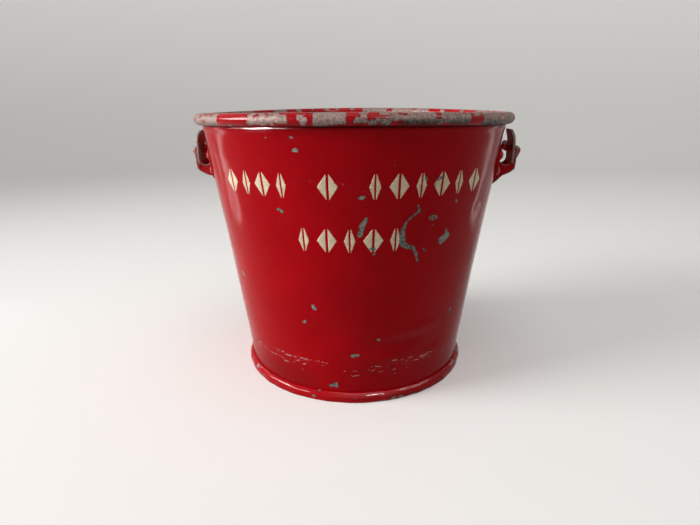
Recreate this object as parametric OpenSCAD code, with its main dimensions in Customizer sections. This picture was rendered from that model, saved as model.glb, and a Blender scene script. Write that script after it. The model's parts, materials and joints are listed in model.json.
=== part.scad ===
// Fire bucket: a tapered sheet-steel pail with a wired rim, a folded foot hoop, two riveted ears
// and a round-rod bail that swings from the back wall over the top to the front wall.
// Origin: centre of the face it stands on. +Z up, front towards -Y, ears on the X axis.

/* [Body] */
// Outside diameter over the wired rim
rim_d = 305; // [300:1:308]
// Overall height, from the floor to the top of the rim
height = 258; // [255:0.5:264]
// Outside diameter of the wall where the rim starts
mouth_d = 289.3; // [288:0.1:291]
// Outside diameter of the wall at the top of the foot hoop
base_d = 223.9; // [222:0.1:225]
// Thickness of the body sheet
sheet_t = 0.9; // [0.7:0.1:1.2]
// Diameter of the rim roll
bead_d = 10; // [9:0.5:11]
// Width of the slit that the raw edge of the roll leaves against the wall
curl_gap = 0.7; // [0.4:0.1:1]

/* [Back seam] */
// Width of the locked seam
seam_w = 9; // [6:0.5:14]
// Height of the seam above the wall
seam_h = 2.2; // [1.5:0.1:3]
// Width of the seam's single fold, beside the raised one
seam_step = 2.4; // [1.5:0.1:3]

/* [Bottom] */
// Height of the bottom's upper face above the floor
bottom_z = 10; // [8:0.5:16]
// Radius of the bend between the bottom and its flange
bottom_bend = 2.5; // [1.5:0.5:4]
// Diameter of the stiffening ring pressed up in the bottom
swage_d = 150; // [100:5:180]
// Radius of that ring's round section
swage_r = 3.5; // [2.5:0.5:5]

/* [Foot hoop] */
// Height of the hoop
foot_h = 11; // [10:0.5:13]
// Outside diameter of the hoop
foot_d = 232.3; // [231:0.1:234]
// Radius of its rounded top edge
foot_round = 3.9; // [2.5:0.1:3.9]
// Radius of its lower outer edge
foot_corner = 1.6; // [1:0.1:2]
// Thickness of the part folded under the wall
fold_t = 1.2; // [0.8:0.1:1.5]
// Height of the inner turned-up edge
fold_h = 6.5; // [4:0.5:7]

/* [Ears] */
// Width of each ear's pad, along the wall
pad_w = 68; // [60:1:76]
// Lowest point of the pad
pad_z0 = 194; // [190:1:198]
// Highest point of the pad
pad_z1 = 223; // [221:0.5:224]
// Thickness of the pad
pad_t = 2.5; // [2:0.1:3]
// Radius of the pad's corners
pad_round = 8; // [4:1:12]
// Thickness of each cheek
cheek_t = 2.5; // [2:0.1:3]
// Half the width of the ear over its cheeks
cheek_y = 12.1; // [11:0.1:12.5]
// Distance from the bucket's axis to the inner face of the eye strap
strap_x = 154.5; // [154:0.1:155]
// Thickness of the eye strap
strap_t = 2.6; // [2:0.1:3]
// Half the width of the eye strap
strap_y = 12.6; // [12.6:0.1:14]
// Height of the top of the eye strap
strap_z1 = 239; // [236:0.5:240]
// Height where the strap starts to lean in towards the rim
strap_bend_z = 225.5; // [225:0.5:230]
// Radius of that inward curve
strap_bend_r = 28; // [26:1:60]
// Width of the notch between the pad and the strap
notch_w = 11.2; // [10:0.1:11.5]
// Height of the bottom of the notch
notch_z = 205.5; // [203:0.5:206.5]

/* [Rivets] */
// Diameter of the shank
rivet_d = 5; // [4:0.5:6]
// Diameter of the round head
head_d = 9.5; // [8:0.5:10.5]
// Height of the round head
head_h = 2.8; // [2:0.1:3.5]
// Height of the closed end inside the bucket
tail_h = 1.6; // [1:0.1:2.5]
// Angle around the bucket from the middle of an ear to its rivets
rivet_angle = 9.6; // [9.2:0.1:10.4]
// Height of the lower rivets
rivet_z = 202; // [201:0.5:203]
// Height of the upper rivets above the lower ones
rivet_pitch = 14; // [12:0.5:15]

/* [Bail] */
// Diameter of the bail rod
rod_d = 6; // [5:0.1:6]
// Half the distance between the bail's legs, centre to centre
bail_r = 163.5; // [163.5:0.1:168]
// Height of the pivots
pivot_z = 220.4; // [219.5:0.1:221.5]
// Diameter of the hole in the eye strap
eye_d = 6.8; // [6.6:0.1:8]
// Radius of the bend from a leg into the eye
elbow_r = 4.5; // [4:0.1:5]
// Distance from the bucket's axis to the rod's turned-back end
tip_x = 148; // [147.8:0.1:148.3]
// Radius of the bend into the turned-back end
tip_bend = 5; // [4.5:0.1:5.5]
// Reach of the turned-back end from the pivot
tip_reach = 11; // [9:0.5:11]
// Gap between the resting bail and the seam behind it
rest_gap = 0.3; // [0.2:0.1:2]

/* [Hidden] */
$fn = 96;
rod_r = rod_d / 2;
bead_r = bead_d / 2;
bead_x = rim_d / 2 - bead_r;
bead_z = height - bead_r;
wire_r = bead_r - sheet_t;
wall_z1 = bead_z - bead_r;
slope = (mouth_d - base_d) / 2 / (wall_z1 - foot_h);
slope_angle = atan(slope);
// The raw edge of the rim roll ends this far from straight down, towards the wall
curl_angle = 17;
// The seam stops short of the hoop and of the rim roll
seam_z0 = foot_h + 1.5;
seam_z1 = wall_z1 - 3;
// The rim's roll takes the wall's end this far below the middle of the wire
wall_end = 2;
// A rivet's flat tail clears the curved inside of the wall by this much
tail_gap = 0.08;
tail_d = 0.85 * head_d;
// Longer than anything that it cuts
reach = 60;
// Edge of a cheek from the strap round the lip to the wall, as [x, z]
cheek_edge = [[157.1, 224.3], [160.1, 220.6], [159.2, 209.5], [158.6, 201.4], [154.3, 198],
    [149.2, 195.6], [143.5, 194.2], [130, 193.6]];
// Angle from straight down at which the bail's middle comes to rest on the seam
bail_length = bail_r + elbow_r;
bail_rest = asin((wall_r(pivot_z) * cos(slope_angle) + seam_h + rod_r + rest_gap) / bail_length)
    - slope_angle;
sides = ["left", "right"];
places = ["front_low", "front_high", "back_low", "back_high"];
function rivet_name(side, place) = str("ear_rivet_", side, "_", places[place]);

// Radius of the wall's outer face at height z
function wall_r(z) = mouth_d / 2 - (wall_z1 - z) * slope;

// Section of a layer that runs along the wall between two heights, from inner to outer,
// both measured outwards from the wall's outer face
module wall_layer(inner, outer, z0, z1) {
    polygon([[wall_r(z0) + inner, z0], [wall_r(z0) + outer, z0],
        [wall_r(z1) + outer, z1], [wall_r(z1) + inner, z1]]);
}

// Plate in the YZ plane with round corners, as thick as the reach of a cut
module rounded_plate(w, h, r) {
    rotate([90, 0, 90]) linear_extrude(reach, center = true) {
        square([w - 2 * r, h], center = true);
        square([w, h - 2 * r], center = true);
        for (sx = [-1, 1], sy = [-1, 1])
            translate([sx * (w / 2 - r), sy * (h / 2 - r)]) circle(r);
    }
}

// Section in the XZ plane drawn out along Y
module along_y(width) {
    rotate([90, 0, 0]) linear_extrude(width, center = true) children();
}

// Wall and rim: the sheet runs up and rolls outward around the rim wire
module wall_section() {
    difference() {
        union() {
            wall_layer(-sheet_t, 0, fold_t, bead_z - wall_end);
            translate([bead_x, bead_z]) circle(bead_r);
        }
        translate([bead_x, bead_z]) circle(wire_r);
        translate([bead_x, bead_z]) rotate(-90 - curl_angle)
            translate([0, -curl_gap / 2]) square([bead_r + 1, curl_gap]);
    }
}

// Locked seam: the sheet's two edges hooked together and pressed flat, a step of two heights
module seam_section() {
    root = -sheet_t / 2;
    low = seam_h - sheet_t;
    half = seam_w / 2;
    polygon([[-half, root], [-half, low], [-half + low, seam_h], [half - seam_step, seam_h],
        [half - seam_step, low], [half, low], [half, root]]);
}

module back_seam() {
    translate([0, wall_r(seam_z0), seam_z0]) rotate([-slope_angle, 0, 0])
        linear_extrude((seam_z1 - seam_z0) / cos(slope_angle)) seam_section();
}

module body_sheet() {
    color("firebrick") difference() {
        union() {
            rotate_extrude() wall_section();
            back_seam();
        }
        for (side = sides, place = [0:3]) rivet_hole(side, place);
    }
}

module rim_wire() {
    color("gray") rotate_extrude() translate([bead_x, bead_z]) circle(wire_r);
}

// Bottom: a shallow pan turned upside down, its flange pressed against the inside of the wall
module bottom_section() {
    bend_z = bottom_z - bottom_bend;
    bend_x = wall_r(bend_z) - sheet_t - bottom_bend;
    under = bottom_z - sheet_t;
    wall_layer(-2 * sheet_t, -sheet_t, fold_t, bend_z);
    intersection() {
        translate([bend_x, bend_z]) difference() {
            circle(bottom_bend);
            circle(bottom_bend - sheet_t);
        }
        translate([bend_x, bend_z]) square(bottom_bend);
    }
    difference() {
        union() {
            translate([0, under]) square([bend_x, sheet_t]);
            intersection() {
                translate([swage_d / 2, under]) circle(swage_r);
                translate([swage_d / 2 - swage_r, under]) square([2 * swage_r, swage_r]);
            }
        }
        translate([swage_d / 2, under]) circle(swage_r - sheet_t);
    }
}

module bottom_disc() {
    color("maroon") rotate_extrude() bottom_section();
}

// Foot hoop: a half-round outside, folded under the wall and turned up inside the bottom's flange
module foot_section() {
    outer = foot_d / 2;
    inner = -2 * sheet_t - fold_t;
    difference() {
        union() {
            polygon([[wall_r(0) + inner, 0], [outer - foot_corner, 0], [outer, foot_corner],
                [outer, foot_h - foot_round], [outer - foot_round, foot_h],
                [wall_r(foot_h) + inner, foot_h]]);
            translate([outer - foot_corner, foot_corner]) circle(foot_corner);
            translate([outer - foot_round, foot_h - foot_round]) circle(foot_round);
        }
        wall_layer(-2 * sheet_t, 0, fold_t, reach);
        wall_layer(2 * inner, -sheet_t, fold_h, reach);
    }
}

module foot_ring() {
    color("brown") rotate_extrude() foot_section();
}

// The cheek's face: notched from above, so that the rod's end can turn between pad and strap
module cheek_section() {
    notch_x = strap_x - notch_w / 2;
    notch_mid = notch_z + notch_w / 2;
    difference() {
        polygon(concat([[130, cheek_edge[0][1]]], cheek_edge));
        translate([notch_x, notch_mid]) circle(d = notch_w);
        translate([notch_x - notch_w / 2, notch_mid]) square([notch_w, reach]);
    }
}

// Eye strap: upright beside the notch, then leaning in towards the rim
module strap_section() {
    foot_z = cheek_edge[3][1];
    translate([strap_x, foot_z]) square([strap_t, strap_bend_z - foot_z]);
    intersection() {
        translate([strap_x - strap_bend_r, strap_bend_z]) difference() {
            circle(strap_bend_r + strap_t);
            circle(strap_bend_r);
        }
        translate([strap_x - strap_bend_r, strap_bend_z])
            square([2 * strap_bend_r, strap_z1 - strap_bend_z]);
    }
}

module ear() {
    pad_mid = (pad_z0 + pad_z1) / 2;
    difference() {
        union() {
            intersection() {
                rotate_extrude() wall_layer(-pad_t, pad_t, pad_z0, pad_z1);
                translate([strap_x, 0, pad_mid]) rounded_plate(pad_w, pad_z1 - pad_z0, pad_round);
            }
            for (side_y = [-1, 1])
                translate([0, side_y * (cheek_y - cheek_t / 2), 0]) along_y(cheek_t) cheek_section();
            intersection() {
                along_y(2 * strap_y) strap_section();
                translate([strap_x, 0, strap_z1 - reach / 2])
                    rounded_plate(2 * strap_y, reach, strap_y / 2);
            }
        }
        rotate_extrude() polygon([[0, 0], [wall_r(0), 0], [wall_r(height), height], [0, height]]);
        translate([strap_x - strap_t, 0, pivot_z]) rotate([0, 90, 0])
            cylinder(h = 4 * strap_t, d = eye_d);
        for (place = [0:3]) rivet_hole("right", place);
    }
}

module ear_right() {
    color("crimson") ear();
}

module ear_left() {
    color("crimson") mirror([1, 0, 0]) ear();
}

// Puts its children at one rivet, with +Z outward, square to the wall, and 0 at its outer face
module at_rivet(side, place) {
    turn = side == "right" ? 0 : 180;
    hand = (side == "right") == (place < 2) ? -1 : 1;
    z = rivet_z + rivet_pitch * (place % 2);
    rotate(turn + hand * rivet_angle) translate([wall_r(z), 0, z])
        rotate([0, 90 + slope_angle, 0]) children();
}

module rivet_hole(side, place) {
    at_rivet(side, place) translate([0, 0, -reach / 4]) cylinder(h = reach / 2, d = rivet_d);
}

// Half the section of a domed cap of width d and height h, seated on the X axis
module dome_section(d, h) {
    dome_r = (d * d / 4 + h * h) / (2 * h);
    intersection() {
        translate([0, h - dome_r]) circle(dome_r);
        square([d / 2, h]);
    }
}

module rivet(side, place) {
    tail_z = -sheet_t - tail_gap;
    color("darkred") at_rivet(side, place) rotate_extrude() {
        translate([0, tail_z]) square([rivet_d / 2, pad_t - tail_z]);
        translate([0, pad_t]) dome_section(head_d, head_h);
        translate([0, tail_z]) mirror([0, 1]) dome_section(tail_d, tail_h);
    }
}

// One end of the rod, in the bail's own plane: X across the bucket, Y from the pivot to the grip
module bail_end() {
    translate([bail_r - elbow_r, elbow_r]) rotate(-90) rod_bend(elbow_r, 90);
    translate([tip_x + tip_bend, 0]) rotate([0, 90, 0])
        cylinder(h = bail_r - elbow_r - tip_x - tip_bend, r = rod_r);
    translate([tip_x + tip_bend, -tip_bend]) rotate(90) rod_bend(tip_bend, 90);
    translate([tip_x, -tip_bend]) rotate([90, 0, 0]) cylinder(h = tip_reach - tip_bend, r = rod_r);
}

module rod_bend(bend_r, angle) {
    rotate_extrude(angle = angle) translate([bend_r, 0]) circle(rod_r);
}

module bail() {
    color("dimgray") translate([0, 0, pivot_z]) rotate([bail_rest - 90, 0, 0]) {
        translate([0, elbow_r]) rod_bend(bail_r, 180);
        bail_end();
        mirror([1, 0, 0]) bail_end();
    }
}

body_sheet();
rim_wire();
bottom_disc();
foot_ring();
ear_left();
ear_right();
for (side = sides, place = [0:3])
    rivet(side, place);
bail();
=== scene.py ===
# %% [markdown]
# # A worn fire bucket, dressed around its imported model
# The real object is a tapered pail of galvanised sheet steel, painted gloss red. Its mouth is rolled
# over a wire, its foot stands in a folded hoop, and two riveted ears carry a swinging bail.
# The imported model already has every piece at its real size. It could be shown as it is, but fresh
# lathe work has no dents, flaked paint or bare zinc. So this notebook keeps the sizes and makes the
# skins again, with the bruises and finishes that years on a hook by a platform give.

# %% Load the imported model
import json
import math

import bpy
import numpy as np
from mathutils import Matrix, Vector

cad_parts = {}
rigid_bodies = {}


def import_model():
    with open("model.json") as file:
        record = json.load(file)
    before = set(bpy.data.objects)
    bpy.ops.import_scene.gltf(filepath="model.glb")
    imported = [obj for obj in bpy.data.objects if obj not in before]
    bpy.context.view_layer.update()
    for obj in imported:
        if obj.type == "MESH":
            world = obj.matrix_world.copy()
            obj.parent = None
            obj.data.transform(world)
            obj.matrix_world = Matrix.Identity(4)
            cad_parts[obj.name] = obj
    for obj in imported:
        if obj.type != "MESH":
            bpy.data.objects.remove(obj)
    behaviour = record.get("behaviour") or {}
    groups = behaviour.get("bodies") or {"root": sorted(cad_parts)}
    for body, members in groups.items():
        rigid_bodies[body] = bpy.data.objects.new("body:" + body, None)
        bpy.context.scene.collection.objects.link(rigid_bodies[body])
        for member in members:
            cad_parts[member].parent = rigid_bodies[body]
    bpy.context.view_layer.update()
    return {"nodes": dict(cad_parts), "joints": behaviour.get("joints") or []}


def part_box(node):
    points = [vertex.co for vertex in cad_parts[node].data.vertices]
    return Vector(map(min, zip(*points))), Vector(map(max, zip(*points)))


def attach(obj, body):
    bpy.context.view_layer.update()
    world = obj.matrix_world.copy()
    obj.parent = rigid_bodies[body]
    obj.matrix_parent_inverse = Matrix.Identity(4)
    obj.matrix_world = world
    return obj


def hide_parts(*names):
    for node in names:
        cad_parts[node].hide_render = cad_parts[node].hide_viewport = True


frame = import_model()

# %% [markdown]
# ## The sizes that everything hangs from
# A pail is a few circles joined by straight sheet, so a handful of numbers fixes all of it. They could
# be typed in again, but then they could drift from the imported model. Here the rim, the wire, the hoop
# and the bottom are measured from it, in millimetres, and only what no box can tell is written down.

# %% Measure the pail
MM = 0.001


def box_mm(node):
    low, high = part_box(node)
    return np.array(low) / MM, np.array(high) / MM


body_low, body_high = box_mm("body_sheet")
wire_low, wire_high = box_mm("rim_wire")
hoop_high = box_mm("foot_ring")[1]
pan_high = box_mm("bottom_disc")[1]

sheet = body_high[2] - wire_high[2]
wire_radius = (wire_high[2] - wire_low[2]) / 2
bead_radius = wire_radius + sheet
bead_z = wire_high[2] - wire_radius
bead_centre = body_high[0] - bead_radius
mouth_radius = 144.65
mouth_z = bead_z - bead_radius
flange_z = 7.5
slope = (mouth_radius - pan_high[0] - sheet) / (mouth_z - flange_z)
slope_angle = math.atan(slope)
print(f"bead {bead_radius:.2f} at {bead_centre:.1f}, {bead_z:.1f}  sheet {sheet:.2f}  slope {slope:.4f}")

# %% [markdown]
# ## The camera
# A picture of the bucket is taken from a little above its rim, close enough that the mouth looks much
# wider than the foot. A long lens further off would flatten that. The bucket is turned a few degrees on
# the table, and here the camera goes round instead, so that the model keeps its own axes.

# %% Place the camera
BUCKET_TURN = math.radians(3.2)
# in mm from the middle of the foot, before the turn
CAMERA_SPOT = Vector((-4.5, -515.1, 264.4)) * MM
CAMERA_PITCH = math.radians(17.75)
CAMERA_ROLL = -0.006
FOCAL_PIXELS = 500
IMAGE_WIDTH = 700
SENSOR = 36

turn = Matrix.Rotation(BUCKET_TURN, 4, "Z")


def new_object(name, data):
    holder = bpy.data.objects.new(name, data)
    bpy.context.scene.collection.objects.link(holder)
    return holder


def place_camera():
    camera = bpy.data.cameras.new("camera")
    camera.sensor_width = SENSOR
    camera.lens = SENSOR * FOCAL_PIXELS / IMAGE_WIDTH
    camera.clip_start = 0.01
    holder = new_object("camera", camera)
    tilt = Matrix.Rotation(math.pi / 2 - CAMERA_PITCH, 4, "X") @ Matrix.Rotation(CAMERA_ROLL, 4, "Z")
    holder.matrix_world = turn @ Matrix.Translation(CAMERA_SPOT) @ tilt
    bpy.context.scene.camera = holder
    return holder


camera = place_camera()
print("camera at", [round(v, 4) for v in camera.matrix_world.translation])

# %% [markdown]
# ## From rows and columns to a skin
# Most of a pail is round work, so most pieces here are a section carried round an axis or along a rod.
# Blender's Screw and Spin tools do that too, but they give no hold on single points. These helpers
# lay points out as a grid of rows and columns, so that each point knows where it is on the bucket and
# can be dented, lowered or marked by a formula.

# %% Mesh helpers


def new_piece(name, points, faces, slots=None, materials=()):
    mesh = bpy.data.meshes.new(name)
    mesh.from_pydata((np.asarray(points) * MM).tolist(), [], faces)
    for material in materials:
        mesh.materials.append(material)
    if slots is not None:
        mesh.polygons.foreach_set("material_index", np.asarray(slots, np.int32))
    mesh.polygons.foreach_set("use_smooth", np.ones(len(mesh.polygons), bool))
    mesh.update()
    return new_object(name, mesh)


def grid_faces(rows, columns, close_rows=True, close_columns=True, start=0):
    row = np.arange(rows if close_rows else rows - 1)
    column = np.arange(columns if close_columns else columns - 1)
    r, c = np.meshgrid(row, column, indexing="ij")
    up, across = (r + 1) % rows, (c + 1) % columns
    quads = np.stack([r * columns + c, r * columns + across, up * columns + across, up * columns + c], -1)
    return (quads.reshape(-1, 4) + start).tolist()


def set_fields(piece, **fields):
    """Gives every point a number by name. One number alone holds for the whole piece."""
    for name, values in fields.items():
        flat = np.empty(len(piece.data.vertices), np.float32)
        flat[:] = np.ravel(values)
        piece.data.attributes.new(name, "FLOAT", "POINT").data.foreach_set("value", flat)


def ease(t):
    t = np.clip(t, 0, 1)
    return t * t * (3 - 2 * t)


def around(radius, azimuth, z):
    """Azimuth 0 is the front, -Y, and grows towards the right ear, +X."""
    return np.stack([radius * np.sin(azimuth), -radius * np.cos(azimuth), z], -1)


# %% [markdown]
# ## Dents and a tired rim
# Thin sheet never stays round. It has slow waves, knocks from other buckets, a crease under the left
# ear, and a mouth that years of carrying have pulled down at the ears. A bump texture would only fool
# the light inside the outline, so all of it moves the points themselves, inside and out alike, and
# the marks and rods that sit on the wall use the same formula.

# %% The shape of the wall
# how far the ears have pulled the rim down, and the height of the middle of their pads, in mm
RIM_SAG = 2.7
EAR_PAD_Z = 208

# azimuth in degrees, height, half width in degrees, half height, depth in mm
DENTS = [
    (-57, 211, 2.6, 15, 1.0),
    (-51, 224, 5.0, 12, -0.5),
    (-49, 187, 4.0, 22, 0.5),
    (-9, 70, 9.0, 14, 1.9),
    (8, 86, 10.0, 10, -0.8),
    (24, 60, 10.0, 6, 2.0),
    (33, 72, 8.0, 5, -1.4),
    (16, 46, 8.0, 5, -1.2),
    (38, 50, 7.0, 7, 1.0),
    (-27, 196, 8.0, 14, 0.5),
    (13, 214, 10.0, 12, 0.4),
    (24, 168, 7.0, 16, 0.6),
    (57, 176, 3.0, 7, 0.8),
    (54, 196, 3.5, 10, -0.5),
    (62, 132, 8.0, 22, -0.6),
    (-38, 122, 14.0, 24, 0.6),
    (118, 96, 12.0, 18, 1.6),
    (-132, 150, 13.0, 20, 1.3),
    (152, 176, 9.0, 16, 0.9),
    (-158, 70, 10.0, 14, 1.1),
    (98, 40, 12.0, 12, 0.9),
]


def wall_radius(z):
    return mouth_radius - (mouth_z - z) * slope


def wave(azimuth, z):
    slow = 0.30 * np.sin(3 * azimuth + 0.7) * np.sin(z / 58 + 0.4)
    middle = 0.20 * np.sin(5 * azimuth - 1.1 + z / 83) * np.cos(z / 37 + 0.3)
    quick = 0.09 * np.sin(11 * azimuth + 2.0 + z / 29) * np.sin(z / 19)
    ripple = 0.035 * np.sin(29 * azimuth + z / 13) * np.sin(z / 9 + 4 * azimuth)
    return slow + middle + quick + ripple - 0.38


def turned_from(azimuth, middle):
    """How far an azimuth lies from a middle one, at most half a turn to either side."""
    return (azimuth - middle + math.pi) % (2 * math.pi) - math.pi


def dented(azimuth, z):
    """How far the wall stands proud of a true cone, in mm."""
    depth = wave(azimuth, z)
    for degrees, height, half_width, half_height, knock in DENTS:
        across = turned_from(azimuth, math.radians(degrees))
        reach = (across / math.radians(half_width)) ** 2 + ((z - height) / half_height) ** 2
        depth = depth - knock * np.exp(-reach)
    off_seam = ease((np.abs(turned_from(azimuth, math.pi)) - 0.10) / 0.25)
    beside_ears = ease((np.abs(np.abs(azimuth) - math.pi / 2) - 0.28) / 0.2)
    past_ears = ease((np.abs(z - EAR_PAD_Z) - 22) / 20)
    off_hoop = ease((z - 10) / 22)
    return depth * off_seam * np.maximum(beside_ears, past_ears) * off_hoop


def ridge(azimuth, z):
    """Where the sheet turns into the rim it swells a little, and the swell's top catches a line of light."""
    lift = 0.85 + 0.08 * np.sin(6 * azimuth + 0.4) + 0.05 * np.sin(21 * azimuth)
    rise = ease((z - (mouth_z - 7)) / 5.2)
    fall = np.clip((mouth_z + 0.3 - z) / 2.6, 0, 1)
    return lift * rise * fall


def rim_drop(azimuth, z):
    return -RIM_SAG * np.sin(azimuth) ** 2 * ease((z - 130) / 115)


def wall_point(azimuth, z, proud=0.0):
    out = wall_radius(z) + dented(azimuth, z) + proud * math.cos(slope_angle)
    return around(out, azimuth, z + rim_drop(azimuth, z) - proud * math.sin(slope_angle))


depths = [float(dented(math.radians(degrees), height)) for degrees, height, *_ in DENTS]
print("deepest dent", round(-min(depths), 2), "mm")

# %% [markdown]
# ## Where the paint has gone
# Paint leaves in chips, cracks and worn stretches, and each has its own place on the bucket. They could
# be left to a noise texture, which is quick but puts them anywhere. Here each chip is an entry in a
# list, measured on the surface, and a function turns the list into a field: millimetres inside the
# nearest bare patch, or minus millimetres outside. The shaders cut that field with a fine ragged edge.

# %% Chips, cracks and worn stretches on the wall
# the field's value away from every bare patch, in mm
FAR = -9.0

# azimuth in degrees, height, half width, half height in mm, lean in degrees, tone from 0 pale to 1 dark
CHIPS = [
    (-15.2, 230.9, 2.4, 1.7, 0, 0.3), (-25.1, 239.9, 0.9, 0.7, 0, 0.2), (-16.1, 240.4, 1.4, 0.8, 0, 0.3),
    (-24.0, 183.4, 1.5, 1.3, 20, 0.7), (-22.7, 182.0, 1.6, 1.5, 0, 0.85), (-54.6, 111.8, 1.3, 1.6, 10, 0.0),
    (-53.7, 109.4, 1.2, 2.0, -15, 0.1), (-13.5, 95.9, 2.1, 1.8, 0, 0.25), (-13.9, 98.4, 1.6, 1.6, 0, 0.2),
    (-18.4, 81.1, 1.6, 1.7, 0, 0.0), (-19.3, 80.8, 0.9, 0.8, 0, 0.1), (2.2, 49.6, 2.2, 1.9, -8, 0.3),
    (3.9, 50.0, 2.4, 1.5, 5, 0.35), (-8.0, 16.0, 2.3, 1.9, -12, 0.8), (-6.2, 17.8, 2.5, 2.1, 30, 0.85),
    (-5.6, 15.4, 1.6, 1.4, 0, 0.7), (13.1, 65.6, 1.2, 1.9, 30, 0.0), (50.4, 79.3, 1.5, 1.8, 35, 0.35),
    (49.5, 76.4, 0.9, 2.2, 45, 0.45), (37.6, 155.4, 3.9, 3.7, 40, 0.2), (36.3, 152.6, 2.7, 2.2, 0, 0.35),
    (39.3, 157.6, 2.4, 2.7, 0, 0.15), (38.3, 161.4, 0.9, 2.2, 0, 0.4), (35.9, 155.4, 1.9, 1.4, 0, 0.3),
    (28.9, 148.6, 1.4, 1.5, 0, 0.7), (29.6, 147.2, 0.8, 1.0, 0, 0.5), (41.2, 187.4, 0.9, 1.7, 30, 0.5),
    (31.3, 169.3, 0.9, 0.7, 0, 0.3), (9.3, 152.6, 2.7, 1.5, 0, 0.75), (9.7, 147.7, 1.0, 0.9, 0, 0.1),
    (5.2, 195.0, 3.0, 1.5, 5, 0.1), (31.7, 207.6, 4.0, 1.5, 25, 0.5),
    (26.6, 208.5, 1.2, 1.7, 0, 0.5), (30.4, 202.7, 0.8, 1.2, 0, 0.9), (29.8, 175.4, 1.2, 1.2, 10, 0.0),
    (32.8, 175.2, 1.2, 1.3, -10, 0.0), (31.3, 176.8, 2.3, 0.75, 0, 0.0), (31.2, 173.8, 2.1, 0.75, 0, 0.0),
    (15.3, 219.8, 0.9, 0.6, 0, 0.4), (26.9, 139.5, 0.9, 1.6, -20, 0.5),
    (103, 150, 2.6, 1.9, 15, 0.4), (121, 92, 3.6, 2.6, -20, 0.6), (112, 208, 2.0, 2.4, 0, 0.3),
    (139, 178, 2.2, 3.2, 30, 0.5), (157, 122, 3.8, 2.2, 5, 0.4), (166, 214, 2.0, 2.0, 0, 0.3),
    (-108, 74, 2.8, 2.2, 20, 0.4), (-122, 190, 3.0, 1.8, 0, 0.2), (-136, 142, 4.0, 3.2, 30, 0.6),
    (-149, 60, 2.4, 2.8, 0, 0.3), (-163, 196, 2.2, 3.0, -15, 0.5), (-171, 104, 3.4, 2.4, 0, 0.4),
    (-95, 128, 1.8, 1.6, 0, 0.3), (146, 46, 3.2, 2.0, 0, 0.5), (84, 120, 1.6, 2.2, 10, 0.2),
]
CRACK_TONE = 0.8

# runs of (azimuth in degrees, height, half width in mm)
CRACKS = [
    [(24.6, 187.0, 1.0), (25.5, 182.3, 1.3), (23.3, 178.9, 0.8), (21.2, 174.7, 0.9), (20.0, 169.0, 1.4),
     (19.6, 162.3, 2.4), (20.2, 155.2, 2.6), (22.2, 152.2, 1.8), (24.4, 151.2, 1.6), (25.7, 146.0, 1.5),
     (26.7, 139.0, 0.7)],
    [(6.8, 178.0, 1.2), (5.6, 173.0, 2.4), (4.7, 164.4, 1.9)],
    [(-140.5, 150.0, 0.8), (-138.0, 141.0, 1.8), (-139.0, 131.0, 0.7)],
    [(126.0, 208.0, 0.7), (128.5, 199.0, 1.4), (127.0, 188.0, 1.0), (130.0, 180.0, 0.6)],
]


def from_line(across, up, run, rise):
    """Distance from a line that runs from 0, 0 to run, rise, and the share of its length reached there."""
    share = np.clip((across * run + up * rise) / (run ** 2 + rise ** 2), 0, 1)
    return np.hypot(across - share * run, up - share * rise), share


def from_runs(azimuth, z, runs):
    """Distance in mm from each straight part of some runs on the wall, and their half width there."""
    for run in runs:
        for (a0, z0, w0), (a1, z1, w1) in zip(run, run[1:]):
            across = turned_from(azimuth, math.radians(a0)) * wall_radius(z)
            length = math.radians(a1 - a0) * wall_radius((z0 + z1) / 2)
            away, share = from_line(across, z - z0, length, z1 - z0)
            yield away, w0 + (w1 - w0) * share


def chip_field(azimuth, z):
    """How deep each place lies in a chip, in mm, and how dark the bare metal is there."""
    field = np.full(np.shape(azimuth), FAR)
    tone = np.full(np.shape(azimuth), 0.4)
    for degrees, height, half_width, half_height, lean, dark in CHIPS:
        across = turned_from(azimuth, math.radians(degrees)) * wall_radius(z)
        up = z - height
        c, s = math.cos(math.radians(lean)), math.sin(math.radians(lean))
        u, v = (across * c + up * s) / half_width, (up * c - across * s) / half_height
        depth = (1 - np.hypot(u, v)) * min(half_width, half_height)
        tone = np.where((depth > field) & (depth > -2), dark, tone)
        field = np.maximum(field, depth)
    for away, half_width in from_runs(azimuth, z, CRACKS):
        depth = half_width - away
        tone = np.where((depth > field) & (depth > -2), CRACK_TONE, tone)
        field = np.maximum(field, depth)
    return field, tone


# %% [markdown]
# The rim takes the worst of it, because buckets are stacked and tipped on their rims. Its bare stretches
# are patches in two directions: along the rim, and round the bead, where 0 degrees faces outward and
# 90 faces up.

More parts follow.
